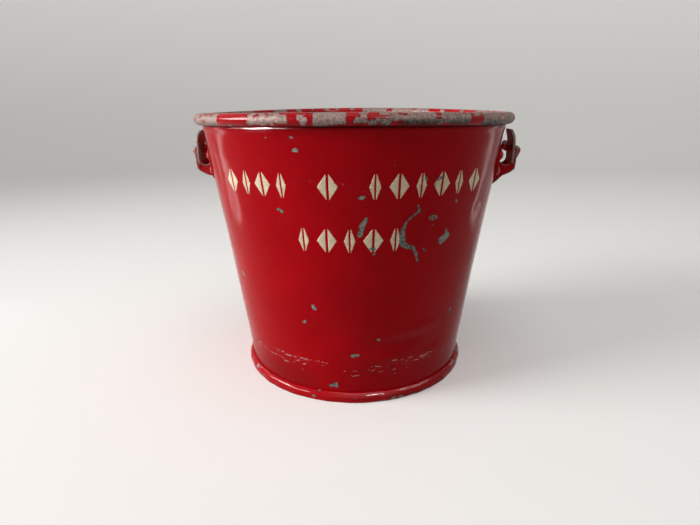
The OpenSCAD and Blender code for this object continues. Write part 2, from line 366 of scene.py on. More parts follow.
# %% Worn stretches on the rim and hoop
# from and to azimuth, then from and to angle round the bead, in degrees
RIM_WEAR = [
    (-88, -42.4, -75, 150), (-37.9, -36.2, -75, -42), (-29.9, -29.2, 45, 75), (-28.9, -24.4, -40, 55),
    (-28.4, -26.6, 40, 76), (-25.6, -23.3, 36, 90), (-24.8, -19.8, -62, 54), (-22.2, -20.0, 50, 90),
    (-20.4, -15.8, -28, 54), (-19.7, -17.7, 45, 84), (-12.9, -10.8, 0, 46), (-12.1, -10.2, -62, 18),
    (-8.3, -4.2, -78, 97), (-4.8, 0.8, -42, 97), (2.7, 7.2, -38, 20), (4.4, 6.9, 10, 92),
    (6.6, 12.8, -52, 23), (9.8, 12.8, 10, 98), (12.2, 16.6, -15, 98), (15.8, 27.4, -40, 98),
    (26.8, 38.6, -34, 98), (40.1, 42.8, 30, 80), (44.2, 92, -70, 140), (-15.8, -8.0, 78, 99),
    (-40, -24, 86, 100), (101, 115.5, 20, 190), (122.5, 125.4, 60, 190), (132, 134, 95, 190),
    (135.4, 137.2, 110, 190), (143.6, 178.4, 70, 192), (182.2, 184.2, 90, 150), (189.8, 192.6, 95, 160),
    (195.4, 198, 100, 165), (202.4, 204, 90, 150), (209, 212, 95, 170), (216.6, 224.4, 60, 190),
    (236, 259, 95, 185), (96, 108, -30, 30), (114, 119, -60, 60), (124, 151, -20, 62),
    (156, 162, -30, 60), (167, 188, -50, 80), (194, 208, 0, 85), (213, 219, -40, 90),
    (224, 242, -10, 95), (248, 256, -60, 100),
]
# the same, for islands of paint inside them
RIM_KEPT = [
    (-52.5, -46.2, 42, 80), (-52.5, -50.2, -28, 0), (-45.3, -43.6, -52, -25), (-56.4, -54.4, 35, 56),
    (-26.7, -25.0, 26, 64), (-22.6, -21.5, -64, -34), (-22.0, -19.8, 39, 50), (-18.4, -15.8, 54, 74),
    (6.5, 12.2, 3, 46), (12.4, 17.6, 42, 54), (14.6, 16.2, -24, -6), (26.3, 27.8, 10, 92),
    (35.6, 38.9, 50, 112), (53.8, 57.4, 32, 58), (54.2, 56.2, -6, 18), (9.2, 9.9, -46, -26),
    (61, 66, 88, 125), (-66, -61, -10, 20), (-78, -72, 50, 96), (76, 81, -30, 10),
    (150, 153, 80, 130), (162, 166, 120, 170), (104, 107, 60, 120), (250, 254, 20, 150),
    (174, 177, -10, 40),
]
# the same, for stretches low on the bead where a dark reflection is painted into the zinc
RIM_DARK_REFLECTIONS = [
    (14.6, 26.6, -66, -12), (30.2, 37.8, -66, -22), (44, 49, -66, -30), (108, 121, -66, 0),
    (203, 216, -66, 10),
]

# azimuth in degrees, height, half length, half height in mm
HOOP_WEAR = [
    (-57, 7.2, 2.4, 1.9), (-50, 3.6, 1.6, 0.8), (-41, 0.6, 5.0, 1.3), (-29, 0.2, 4.0, 1.0),
    (-16.5, 4.2, 2.0, 1.1), (-14, 9.3, 1.2, 0.7), (16, 0.4, 4.5, 1.2), (21, 2.6, 2.4, 1.6),
    (25, 2.2, 3.0, 1.2), (31, 1.0, 4.0, 1.3), (38, 0.6, 6.0, 1.4), (51, 0.8, 5.0, 1.3),
    (66, 8.5, 1.6, 3.0), (79, 6.0, 3.0, 5.0), (95, 0.6, 8.0, 1.8), (118, 1.2, 9.0, 2.0),
    (141, 6.0, 3.0, 2.0), (160, 0.4, 9.0, 1.6), (-72, 2.0, 3.0, 1.4), (-92, 0.8, 9.0, 1.8),
    (-117, 3.4, 3.4, 2.2), (-139, 0.6, 9.0, 1.6), (-165, 7.0, 2.8, 2.4),
]


def patches(azimuth, round_bead, boxes):
    field = np.full(np.shape(azimuth), FAR)
    for start, end, low, high in boxes:
        middle, half = math.radians(start + end) / 2, math.radians(end - start) / 2
        along = (half - np.abs(turned_from(azimuth, middle))) * (bead_centre + bead_radius)
        lift = np.radians((high - low) / 2 - np.abs(round_bead - (low + high) / 2)) * bead_radius
        field = np.maximum(field, np.minimum(along, lift))
    return field


def rim_field(azimuth, round_bead):
    worn = patches(azimuth, round_bead, RIM_WEAR)
    return np.clip(np.minimum(worn, -patches(azimuth, round_bead, RIM_KEPT)), FAR, 1.7)


def hoop_field(azimuth, z):
    field = np.full(np.shape(azimuth), FAR)
    for degrees, height, half_length, half_height in HOOP_WEAR:
        across = turned_from(azimuth, math.radians(degrees)) * hoop_high[0]
        reach = np.hypot(across / half_length, (z - height) / half_height)
        field = np.maximum(field, (1 - reach) * min(half_length, half_height))
    return field


print("chips:", len(CHIPS), "cracks:", len(CRACKS), "rim patches:", len(RIM_WEAR))

# %% [markdown]
# ## Building shaders from small parts
# Old paint, bare zinc and flaking edges turn up on nearly every piece. Copying nodes from material to
# material would work once and then drift apart. So each effect is a node group with named inputs, built
# once, and every material places it with its own values, mixes them and ends in a Principled shader.

# %% Node helpers


def plug(tree, socket, value):
    if isinstance(value, bpy.types.NodeSocket):
        tree.links.new(value, socket)
    else:
        socket.default_value = value


def fill(tree, node, **inputs):
    """Sets or links the inputs of a node by name, with _ for a space."""
    for name, value in inputs.items():
        plug(tree, node.inputs[name.replace("_", " ")], value)
    return node


def add(tree, kind, settings=None, **inputs):
    node = tree.nodes.new("ShaderNode" + kind)
    for name, value in (settings or {}).items():
        setattr(node, name, value)
    return fill(tree, node, **inputs)


def math_node(tree, operation, *values, clamp=False):
    node = add(tree, "Math", {"operation": operation, "use_clamp": clamp})
    for socket, value in zip(node.inputs, values):
        plug(tree, socket, value)
    return node.outputs[0]


def times(tree, first, second, clamp=False):
    return math_node(tree, "MULTIPLY", first, second, clamp=clamp)


def plus(tree, first, second):
    return math_node(tree, "ADD", first, second)


def minus(tree, first, second, clamp=False):
    return math_node(tree, "SUBTRACT", first, second, clamp=clamp)


def blend_colour(tree, share, first, second):
    node = add(tree, "Mix", {"data_type": "RGBA"})
    for index, value in ((0, share), (6, first), (7, second)):
        plug(tree, node.inputs[index], value)
    return node.outputs[2]


def ramp(tree, value, low, high, out_low=0.0, out_high=1.0):
    node = add(tree, "MapRange", {"interpolation_type": "SMOOTHSTEP"})
    for index, part in enumerate((value, low, high, out_low, out_high)):
        plug(tree, node.inputs[index], part)
    return node.outputs[0]


def noise(tree, where, scale, detail=3.0, rough=0.55):
    """Noise with features of about 1/scale metres, around 0.5."""
    node = add(tree, "TexNoise", Vector=where, Scale=scale, Detail=detail, Roughness=rough)
    return node.outputs[0]


def swing(tree, where, scale, detail, rough, size):
    """Noise that swings to both sides of nought."""
    return times(tree, minus(tree, noise(tree, where, scale, detail, rough), 0.5), size)


def blend_value(tree, share, first, second):
    node = add(tree, "Mix", Factor=share)
    plug(tree, node.inputs[2], first)
    plug(tree, node.inputs[3], second)
    return node.outputs[0]


def new_material(name):
    material = bpy.data.materials.new(name)
    material.use_nodes = True
    return material, material.node_tree, material.node_tree.nodes["Principled BSDF"]


def new_group(name, inputs, outputs):
    tree = bpy.data.node_groups.new(name, "ShaderNodeTree")
    for label, value in inputs.items():
        kind = "NodeSocketColor" if isinstance(value, tuple) else "NodeSocketFloat"
        socket = tree.interface.new_socket(label, in_out="INPUT", socket_type=kind)
        socket.default_value = value
    for label, kind in outputs.items():
        tree.interface.new_socket(label, in_out="OUTPUT", socket_type="NodeSocket" + kind)
    return tree, tree.nodes.new("NodeGroupInput"), tree.nodes.new("NodeGroupOutput")


def use_group(tree, group, **inputs):
    return add(tree, "Group", {"node_tree": group}, **inputs)


# %% [markdown]
# ## Flaking
# Where paint breaks off, the edge is jagged at about a millimetre, and the coat ends in a small step. The
# group takes the field of millimetres that each piece carries, shakes it with three sizes of noise and
# cuts it. It gives the bare mask, a thin border just inside the paint, a thin edge just inside the bare
# metal, and the coat's height. Specks add small bare dots wherever a fourth noise is high.

# %% Flaking group


def flaking_group():
    inputs = {"Field": FAR, "Ragged": 1.0, "Lumps": 0.0, "Specks": 0.0}
    outputs = {"Bare": "Float", "Border": "Float", "Edge": "Float", "Coat": "Float"}
    tree, given, made = new_group("flaking", inputs, outputs)
    where = add(tree, "TexCoord").outputs["Object"]
    shake = plus(tree, swing(tree, where, 420, 4, 0.62, 5.0), swing(tree, where, 1500, 2, 0.6, 3.0))
    edge = math_node(tree, "MULTIPLY_ADD", shake, given.outputs["Ragged"], given.outputs["Field"])
    lumps = swing(tree, where, 150, 3, 0.6, 10.0)
    edge = math_node(tree, "MULTIPLY_ADD", lumps, given.outputs["Lumps"], edge)
    speck_noise = noise(tree, where, 240, 5, 0.7)
    speck = ramp(tree, speck_noise, minus(tree, 0.80, given.outputs["Specks"]), 0.82)
    specked = times(tree, speck, ramp(tree, given.outputs["Specks"], 0, 0.05))
    cut = ramp(tree, edge, -0.08, 0.08)
    bare = math_node(tree, "MAXIMUM", cut, specked)
    border = minus(tree, ramp(tree, edge, -0.9, -0.05), cut, clamp=True)
    outline = times(tree, cut, ramp(tree, edge, 0.55, 0.1))
    fill(tree, made, Bare=bare, Border=border, Edge=outline, Coat=minus(tree, 1.0, bare))
    return tree


flaking = flaking_group()

# %% [markdown]
# ## Old gloss paint
# Brushed enamel has faint sags and a slightly uneven depth of colour. Handling leaves it duller in
# cloudy patches, and fine scratches show as paler lines. The group gives a colour, a roughness and a
# height for all of that. The scuff field says where thin scratches gather, and the scrape field where
# something has rubbed the red to a pale pink.

# %% Old paint group
RED = (0.44, 0.001, 0.005, 1.0)
PINK = (0.50, 0.16, 0.18, 1.0)
DEEP_RED = (0.22, 0.0, 0.003, 1.0)
SCRAPED_PINK = (0.56, 0.36, 0.38, 1.0)


def old_paint_group():
    inputs = {"Colour": RED, "Faded": PINK, "Scuff": 0.0, "Scrape": 0.0, "Grime": 0.0}
    outputs = {"Colour": "Color", "Roughness": "Float", "Height": "Float"}
    tree, given, made = new_group("old_paint", inputs, outputs)
    where = add(tree, "TexCoord").outputs["Object"]
    cloud = ramp(tree, noise(tree, where, 16, 4, 0.6), 0.35, 0.65, 0.0, 0.22)
    deep = blend_colour(tree, cloud, given.outputs["Colour"], DEEP_RED)
    # thin wandering lines, where a slow noise passes through one half
    slow = math_node(tree, "ABSOLUTE", minus(tree, noise(tree, where, 190, 2, 0.5), 0.5))
    breaks = ramp(tree, noise(tree, where, 520, 2), 0.42, 0.6)
    thread = times(tree, ramp(tree, slow, 0.012, 0.0), breaks)
    scuffed = times(tree, thread, given.outputs["Scuff"], clamp=True)
    stray = ramp(tree, noise(tree, where, 70, 6, 0.75), 0.72, 0.80, 0.0, 0.10)
    worn = blend_colour(tree, math_node(tree, "MAXIMUM", scuffed, stray), deep, given.outputs["Faded"])
    torn = plus(tree, given.outputs["Scrape"], swing(tree, where, 800, 3, 0.65, 2.4))
    scraped = ramp(tree, torn, 1.95, 2.55, 0.0, 0.85)
    pale = blend_colour(tree, scraped, worn, SCRAPED_PINK)
    dull = ramp(tree, noise(tree, where, 38, 5, 0.65), 0.4, 0.72, 0.0, 0.08)
    rough = plus(tree, plus(tree, 0.14, dull), times(tree, scuffed, 0.2))
    # the painted shade also makes the paint rougher
    rough = plus(tree, rough, times(tree, given.outputs["Grime"], 0.3))
    peel = times(tree, noise(tree, where, 210, 3, 0.5), 0.030)
    sag = times(tree, noise(tree, where, 60, 2, 0.5), 0.10)
    height = minus(tree, plus(tree, peel, sag), times(tree, scuffed, 0.05))
    fill(tree, made, Colour=pale, Roughness=rough, Height=height)
    return tree


old_paint = old_paint_group()

# %% [markdown]
# ## Bare zinc
# Under the paint the steel is galvanised. Its zinc has gone dull and chalky, with darker spots and a
# warm cast of old primer and rust in the hollows. A clean metal shader would mirror the room, so this
# group keeps it rough and only a fifth metal, and the tone input moves it from pale to dark.

# %% Bare zinc group
PALE_ZINC = (0.33, 0.335, 0.30, 1.0)
WARM_ZINC = (0.37, 0.245, 0.215, 1.0)
DULL_ZINC = (0.24, 0.25, 0.22, 1.0)
DARK_ZINC = (0.035, 0.036, 0.035, 1.0)
SPOT = (0.02, 0.02, 0.02, 1.0)
RUST = (0.16, 0.062, 0.026, 1.0)


def bare_zinc_group():
    inputs = {"Tone": 0.5, "Rust": 0.1, "Warm": 0.0, "Grain": 520.0}
    outputs = {"Colour": "Color", "Roughness": "Float", "Metallic": "Float", "Height": "Float"}
    tree, given, made = new_group("bare_zinc", inputs, outputs)
    where = add(tree, "TexCoord").outputs["Object"]
    mottle = noise(tree, where, given.outputs["Grain"], 5, 0.68)
    pale = blend_colour(tree, given.outputs["Warm"], PALE_ZINC, WARM_ZINC)
    light = blend_colour(tree, ramp(tree, mottle, 0.36, 0.66, 0.0, 0.42), pale, SPOT)
    dark = blend_colour(tree, ramp(tree, mottle, 0.40, 0.60), DULL_ZINC, DARK_ZINC)
    toned = blend_colour(tree, given.outputs["Tone"], light, dark)
    cloud = ramp(tree, noise(tree, where, 130, 5, 0.7), 0.45, 0.75)
    stain = times(tree, cloud, given.outputs["Rust"])
    rough = ramp(tree, mottle, 0.3, 0.7, 0.56, 0.76)
    height = times(tree, noise(tree, where, 700, 4, 0.7), 0.06)
    fill(tree, made, Colour=blend_colour(tree, stain, toned, RUST), Roughness=rough, Height=height,
         Metallic=minus(tree, 0.20, stain, clamp=True))
    return tree


bare_zinc = bare_zinc_group()

# %% [markdown]
# ## One recipe for all painted metal
# Each material lays old paint over bare zinc and lets the flaking mask choose between them. The coat's
# step, the paint's sags and the zinc's grain all go into one Bump node, in real millimetres. What
# changes from piece to piece is the zinc's tone and rust, the paint's gloss and how ragged the edges are.
# Where enamel has pooled against a bead it dries thick and shines more, so a "pooled" field adds a coat.

# %% Painted metal recipe
# thickness of the coat in mm
PAINT_STEP = 0.16
EDGE_RED = (0.10, 0.004, 0.004, 1.0)
EDGE_SHADOW = (0.03, 0.02, 0.018, 1.0)
PAINTED_SHADE_COLOUR = (0.030, 0.008, 0.006, 1.0)


def read(tree, name):
    return add(tree, "Attribute", {"attribute_name": name}).outputs["Fac"]


def painted_metal(name, tone=None, rust=0.1, ragged=1.0, lumps=0.0, specks=0.0, gloss=0.15, dull=0.0,
                  warm=0.0, grain=520.0, fields=True):
    material, tree, shader = new_material(name)
    chip = read(tree, "chip") if fields else FAR
    scuff, scrape, grime, pooled = (read(tree, field) if fields else 0.0
                                    for field in ("scuff", "scrape", "grime", "pooled"))
    cut = use_group(tree, flaking, Field=chip, Ragged=ragged, Lumps=lumps, Specks=specks)
    paint = use_group(tree, old_paint, Colour=RED, Faded=PINK, Scuff=scuff, Scrape=scrape, Grime=grime)
    tone = read(tree, "tone") if tone is None else tone
    zinc = use_group(tree, bare_zinc, Tone=tone, Rust=rust, Warm=warm, Grain=grain)
    bare = cut.outputs["Bare"]
    border = times(tree, cut.outputs["Border"], 0.45)
    edge = times(tree, cut.outputs["Edge"], 0.4)
    edged = blend_colour(tree, border, paint.outputs["Colour"], EDGE_RED)
    outlined = blend_colour(tree, edge, zinc.outputs["Colour"], EDGE_SHADOW)
    colour = blend_colour(tree, bare, edged, outlined)
    dulled = plus(tree, paint.outputs["Roughness"], dull)
    step = times(tree, cut.outputs["Coat"], PAINT_STEP)
    skin = blend_value(tree, bare, paint.outputs["Height"], zinc.outputs["Height"])
    bump = add(tree, "Bump", Height=plus(tree, step, skin), Distance=MM, Strength=0.9)
    # this darkening is painted shade, and on the rim's zinc also a painted dark reflection
    fill(tree, shader, Base_Color=blend_colour(tree, grime, colour, PAINTED_SHADE_COLOUR), Normal=bump.outputs[0],
         Roughness=blend_value(tree, bare, dulled, zinc.outputs["Roughness"]),
         Metallic=times(tree, bare, zinc.outputs["Metallic"]), Specular_IOR_Level=gloss,
         Coat_Roughness=0.10, Coat_Weight=pooled)
    return material


wall_paint = painted_metal("wall_gloss_red", rust=0.08, ragged=0.55, lumps=0.12, gloss=0.045)
rim_paint = painted_metal("rim_worn_red", rust=0.22, ragged=0.8, lumps=0.55, gloss=0.12, warm=1.0)
hoop_paint = painted_metal("hoop_gloss_red", tone=0.0, rust=0.2, ragged=0.7, gloss=0.08, warm=0.4)
ear_paint = painted_metal("ear_worn_red", tone=0.1, rust=0.2, ragged=0.4, gloss=0.06, dull=0.42, warm=0.6)
rod_paint = painted_metal("bail_worn_red", tone=0.3, rust=0.3, ragged=0.7, gloss=0.15, warm=0.4)
inside_paint = painted_metal("inside_zinc_and_red", tone=0.42, rust=0.7, ragged=1.1, gloss=0.1, warm=0.3,
                             grain=90.0)
print("materials:", [m.name for m in bpy.data.materials])

# %% [markdown]
# ## The body: wall, rolled rim and inside
# On the real bucket one sheet makes the wall and the rim: it runs up, rolls outward over a wire, and its
# raw edge stops just short of the wall, which leaves the dark line under the bead. So the section here
# is one closed strip as well, followed up the outside, into that slit, round the wire, over the bead
# and down the inside. Carried round the axis it closes on itself, with no loose faces.

# %% The body's section
# degrees round the bead where the wall runs into it, where the slit starts and where the raw edge is
EDGE_ANGLES = (-123.6, -111.5, -103.0)
# and where the inside of the wall leaves it
INNER_JOIN = 224.7


def bead_arc(angles, radius):
    t = np.radians(angles)
    return np.stack([bead_centre + radius * np.cos(t), bead_z + radius * np.sin(t)], -1)


def body_rows():
    """(radius, z, part, angle round the bead) for each row, from the foot up, over and down the inside."""
    low, high = body_low[2], bead_arc([EDGE_ANGLES[0]], bead_radius)[0][1]
    heights = np.concatenate([[low, 6, 10.8], np.arange(12.4, 25.5, 1.4), np.arange(26, 45.6, 0.55),
                              np.arange(46.4, 140, 1.6), np.arange(140, 216, 1.2),
                              np.arange(216, high - 5, 1.6), np.arange(high - 4.4, high - 0.3, 0.5), [high]])
    rows = [(wall_radius(z), z, 0, -125) for z in heights]
    wedge = np.linspace(EDGE_ANGLES[0], EDGE_ANGLES[1], 3)[1:]
    rows += [(r, z, 1, a) for (r, z), a in zip(bead_arc(wedge, bead_radius), wedge)]
    inner = np.linspace(EDGE_ANGLES[1], EDGE_ANGLES[2] - 360, 30)
    rows += [(r, z, 2, -110) for r, z in bead_arc(inner, wire_radius + 0.02)]
    outer = np.linspace(EDGE_ANGLES[2], INNER_JOIN, 46)
    rows += [(r, z, 1, a) for (r, z), a in zip(bead_arc(outer, bead_radius), outer)]
    join = bead_arc([INNER_JOIN], bead_radius)[0][1]
    heights = np.concatenate([np.arange(join - 1.5, 200, -1.8), np.arange(200, 12, -4), [11, 6, low]])
    rows += [(wall_radius(z) - sheet, z, 3, 226) for z in heights]
    return np.array(rows)


rows = body_rows()
print("rows in the body's section:", len(rows))

# %% [markdown]
# ## Columns, and the locked seam at the back
# The front needs fine columns for the chips and the sides fewer. At the back the sheet's two edges hook
# into each other and are pressed flat, which leaves a low ridge with one step. That ridge is nine
# millimetres wide at any height, so its columns are set out in millimetres and not in degrees.

# %% The body's columns
SEAM_LOW, SEAM_HIGH = 12.5, 245
# distance from the middle of the seam, height of the ridge there, in mm
SEAM_RIDGE = [(9, 0), (5.4, 0), (4.62, 0.05), (4.45, 1.15), (2.3, 1.3), (2.05, 2.1), (0, 2.2), (-2.9, 2.2),
              (-4.3, 1.2), (-4.6, 0.05), (-5.4, 0), (-9, 0)]


def body_columns():
    half = [np.arange(0.45, 62.5, 0.45), np.arange(63.5, 112, 1.0), np.arange(114, 175.6, 2.5)]
    side = np.radians(np.concatenate(half))
    return np.concatenate([-side[::-1], [0.0], side])


columns = body_columns()
seam_offset, seam_ridge = np.array(SEAM_RIDGE).T
print("columns round the body:", len(columns) + len(seam_offset))

# %% Build the body


def build_body():
    radius, z, part, bead_angle = (rows[:, k][:, None] for k in range(4))
    back = math.pi - seam_offset[None, :] / radius
    azimuth = np.concatenate([np.broadcast_to(columns, (len(rows), len(columns))), back], 1)
    seam = np.concatenate([np.zeros(len(columns)), seam_ridge])[None, :]
    outside = (part == 0) * np.clip((z - SEAM_LOW) / 1.2, 0, 1) * np.clip((SEAM_HIGH - z) / 1.2, 0, 1)
    level = np.minimum(z, mouth_z)
    shift = dented(azimuth, np.broadcast_to(level, azimuth.shape)) + seam * outside
    shift = shift + ridge(azimuth, z) * (part == 0)
    uneven = 0.10 * np.sin(17 * azimuth + 0.5) + 0.08 * np.sin(31 * azimuth) - 0.18
    shift = shift + uneven * (part == 1)
    points = around(radius + shift, azimuth, z + rim_drop(azimuth, level))
    count = azimuth.shape[1]
    faces = grid_faces(len(rows), count)
    row_slot = np.array([0, 1, 1, 2])[part[:, 0].astype(int)]
    body = new_piece("body_skin", points.reshape(-1, 3), faces, np.repeat(row_slot, count),
                     (wall_paint, rim_paint, inside_paint))
    return body, azimuth, *(np.broadcast_to(value, azimuth.shape) for value in (z, part, bead_angle))


body, body_azimuth, body_z, body_part, body_bead = build_body()
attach(body, "pail")
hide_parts("body_sheet")
print("body:", len(body.data.vertices), "points")

# %% [markdown]
# ## Marking the body
# The fields now go on to the points: how deep each lies in a bare patch and how dark the zinc is there, where
# scratches and scrapes lie, where paint has pooled, and where the colour is darkened with painted shade. On
# the rim the dark zinc low on the bead is a painted dark reflection. Scrapes are short straight strokes, and
# scratches are runs of points again, each with a band. Inside, the painter only reached down a few fingers'
# width, so below a wandering line the field is simply bare.

# %% Scratches and dirt
# from and to (azimuth in degrees, height), half width in mm
SCRAPES = [
    (-53.0, 38.0, -55.6, 29.9, 0.4), (-49.9, 39.5, -52.7, 31.3, 0.4), (-53.0, 38.0, -49.4, 39.4, 0.5),
    (-47.2, 37.8, -45.0, 36.2, 0.5), (-42.4, 35.5, -37.0, 36.2, 0.45), (-37.0, 42.9, -35.1, 41.5, 0.5),
    (-33.7, 41.8, -31.7, 43.4, 0.5), (-31.0, 40.3, -27.8, 40.6, 0.75), (-26.1, 40.9, -25.0, 40.6, 0.5),
    (-22.8, 41.1, -18.9, 41.2, 0.75), (-17.7, 41.2, -17.0, 41.3, 0.5), (-14.8, 41.3, -13.2, 41.2, 0.5),
    (-12.0, 40.8, -9.2, 40.3, 0.5), (-38.9, 35.3, -37.0, 36.3, 0.5), (-35.6, 36.3, -31.5, 34.2, 0.45),
    (-32.7, 32.6, -30.2, 32.4, 0.75), (-25.3, 36.7, -23.3, 38.2, 0.5), (-26.8, 34.5, -26.0, 34.7, 0.5),
    (-21.6, 34.8, -20.3, 35.7, 0.75), (-22.8, 28.4, -22.3, 28.7, 0.5), (-12.1, 37.2, -11.2, 37.4, 0.5),
    (-2.0, 32.8, -1.6, 32.8, 0.55), (0.6, 28.3, 2.5, 27.4, 0.5), (2.5, 27.7, 5.0, 28.5, 0.5),
    (2.0, 33.0, 3.8, 33.0, 0.5), (9.1, 34.1, 10.4, 32.1, 0.5), (10.4, 32.3, 12.0, 34.0, 0.5),
    (10.3, 37.0, 10.6, 37.0, 0.55), (12.2, 37.5, 14.3, 36.9, 0.75), (13.9, 30.9, 15.9, 31.5, 0.5),
    (19.9, 42.1, 21.9, 41.9, 0.75), (23.6, 41.1, 25.4, 40.9, 0.5), (26.7, 37.7, 27.2, 39.0, 0.55),
    (20.2, 31.8, 21.7, 32.1, 0.5), (21.6, 26.6, 21.9, 27.1, 0.5), (27.7, 41.1, 30.3, 41.5, 0.5),
    (27.4, 31.1, 27.6, 31.9, 0.5), (31.2, 37.1, 33.7, 36.3, 0.6), (34.5, 38.9, 38.7, 39.0, 0.95),
    (36.2, 35.8, 37.4, 35.9, 0.5), (38.7, 40.8, 42.4, 39.2, 0.55), (39.7, 35.7, 41.7, 35.3, 0.5),
    (50.5, 35.8, 55.1, 32.8, 0.35), (50.2, 32.6, 51.2, 32.4, 0.4), (55.9, 39.2, 56.9, 39.4, 0.4),
    (61.8, 35.5, 64.0, 37.6, 0.35), (64.0, 37.6, 66.2, 33.6, 0.35), (66.2, 33.6, 69.3, 32.4, 0.35),
    (84.0, 38.0, 89.0, 39.2, 0.5), (98.0, 36.4, 104.0, 37.6, 0.6), (112.0, 41.0, 114.0, 39.6, 0.5),
    (121.0, 34.2, 127.0, 35.0, 0.6), (133.0, 40.2, 138.0, 40.8, 0.5), (151.0, 37.0, 154.0, 35.2, 0.6),
    (-78.0, 37.2, -73.0, 36.4, 0.5), (-94.0, 40.0, -88.0, 39.4, 0.6), (-107.0, 36.0, -104.0, 38.0, 0.5),
    (-121.0, 42.0, -114.0, 41.2, 0.6), (-140.0, 37.0, -134.0, 38.0, 0.5), (-159.0, 40.6, -151.0, 40.0, 0.6),
]
# runs of (azimuth in degrees, height, half width of the band in mm)
SCRATCHES = [
    [(-56.0, 33.6, 3.0), (-36.2, 41.4, 2.6), (-25.0, 39.1, 3.2), (-9.2, 40.8, 1.6)],
    [(10.6, 35.1, 3.4), (21.0, 36.0, 4.6), (36.0, 39.0, 3.2), (42.0, 39.2, 1.4)],
    [(50.0, 35.0, 3.0), (64.0, 36.0, 4.0)],
    [(-29.0, 204.6, 0.6), (-14.5, 207.1, 0.7), (-2.2, 205.9, 0.9), (2.1, 205.2, 1.0), (6.5, 198.9, 1.0),
     (11.0, 198.6, 0.8)],
    [(-24.9, 180.8, 0.6), (-22.7, 163.4, 0.8)],
    [(100, 38, 4), (128, 44, 5), (150, 36, 4)], [(-96, 36, 4), (-124, 46, 5), (-158, 38, 4)],
]
# no scrape reaches above the first height, and inside the paint ends about the second, in mm
SCRAPES_TOP = 60
PAINT_LINE = 196


def scratch_field(azimuth, z):
    """How thick the fine scratches lie, from 0 to 1."""
    weight = np.zeros(np.shape(azimuth))
    for away, half_width in from_runs(azimuth, z, SCRATCHES):
        weight = np.maximum(weight, np.exp(-(away / half_width) ** 2))
    return weight


def scrape_field(azimuth, z):
    """Nothing far from a scrape, over 2 inside it: 2 mm plus the depth."""
    field = np.zeros(np.shape(azimuth))
    runs = [[(a0, z0, half), (a1, z1, half)] for a0, z0, a1, z1, half in SCRAPES]
    for away, half_width in from_runs(azimuth, z, runs):
        field = np.maximum(field, 2 + half_width - away)
    return field


def inside_field(azimuth, z):
    line = PAINT_LINE + 9 * np.sin(3 * azimuth + 1) + 4 * np.sin(8 * azimuth) + 1.5 * np.sin(19 * azimuth + 2)
    return np.clip(0.5 * (line - z), -6, 6)


def between(value, start, rise, end, fall):
    """One from start to end, easing in over rise just after start and out over fall just before end."""
    return ease((value - start) / rise) * ease((end - value) / fall)


def mark_body():
    on_wall, tone = chip_field(body_azimuth, body_z)
    on_rim = rim_field(body_azimuth, body_bead)
    chip = np.select([body_part == 0, body_part == 1, body_part == 2],
                     [on_wall, on_rim, -3], inside_field(body_azimuth, body_z))
    scuff = np.where(body_part == 0, scratch_field(body_azimuth, body_z), 0)
    # painted shade: the crease under the bead and the bead's underside are darkened, more on the right, away
    # from the key lamp
    shaded = 0.3 + 0.7 * between(body_azimuth, -0.5, 0.5, 1.6, 0.4)
    under_bead_shade = ease((body_z - (mouth_z - 1.5 * shaded)) / 1.2) * (body_part == 0)
    bead_foot_shade = ease((-42 - body_bead) / 30) * (body_part == 1)
    grime = 0.9 * np.maximum(under_bead_shade, bead_foot_shade * shaded)
    # painted dark reflection: the zinc low on the bead is darkened towards the right, and most in the listed
    # stretches
    low_right_dark_reflection = ease((18 - body_bead) / 40) * between(body_azimuth, -0.2, 0.5, 1.3, 0.4)
    dark_reflection = ease(patches(body_azimuth, body_bead, RIM_DARK_REFLECTIONS) / 1.6 + 0.5) * (body_part == 1)
    tone = np.where(body_part == 1, np.maximum(0.10 + 0.75 * low_right_dark_reflection, dark_reflection), tone)
    grime = np.maximum(grime, 0.55 * dark_reflection)
    # painted shade: the wall is darkened low on the left, towards the foot
    low_left_shade = ease((46 - body_z) / 26) * between(body_azimuth, -1.6, 0.4, -0.12, 0.3)
    grime = np.maximum(grime, 0.34 * low_left_shade * (body_part == 0))
    pooled = 0.4 * ease((body_z - (mouth_z - 5)) / 1.5) * between(body_azimuth, -0.60, 0.07, -0.37, 0.07)
    pooled = pooled * (body_part == 0)
    scrape = np.where(body_part == 0, scrape_field(body_azimuth, np.minimum(body_z, SCRAPES_TOP)), 0)
    set_fields(body, chip=chip, tone=tone, scuff=scuff, scrape=scrape, grime=grime, pooled=pooled)
    return int((chip > 0).sum())


print("bare points on the body:", mark_body())

# %% [markdown]
# ## The wire in the rim
# A rod lies inside the roll and shows as a glint of metal in the slit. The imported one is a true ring, but
# the rim above it has sagged at the ears, so the rod is swept again along the same sagging line.

# %% Build the rim wire
# the rod is a little thinner than the roll round it, as a share of its radius
WIRE_SLACK = 0.985


def plain_metal(name, tone, rust, grain=520.0):
    material, tree, shader = new_material(name)
    zinc = use_group(tree, bare_zinc, Tone=tone, Rust=rust, Grain=grain)
    bump = add(tree, "Bump", Height=zinc.outputs["Height"], Distance=MM, Strength=0.8)
    fill(tree, shader, Base_Color=zinc.outputs["Colour"], Roughness=zinc.outputs["Roughness"],
         Metallic=zinc.outputs["Metallic"], Normal=bump.outputs[0])
    return material


def build_wire():
    round_rod = np.radians(np.arange(0, 360, 20))[:, None]
    azimuth = np.radians(np.arange(0, 360, 2.0))[None, :]
    level = np.full(azimuth.shape, mouth_z)
    radius = bead_centre + WIRE_SLACK * wire_radius * np.cos(round_rod) + dented(azimuth, level)
    z = bead_z + WIRE_SLACK * wire_radius * np.sin(round_rod) + rim_drop(azimuth, level)
    points = around(radius, azimuth, z).reshape(-1, 3)
    return new_piece("rim_wire_rod", points, grid_faces(*radius.shape), materials=(wire_metal,))


wire_metal = plain_metal("rod_dull_zinc", 0.5, 0.5)
wire = build_wire()
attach(wire, "pail")
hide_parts("rim_wire")
print("rim wire:", len(wire.data.vertices), "points")

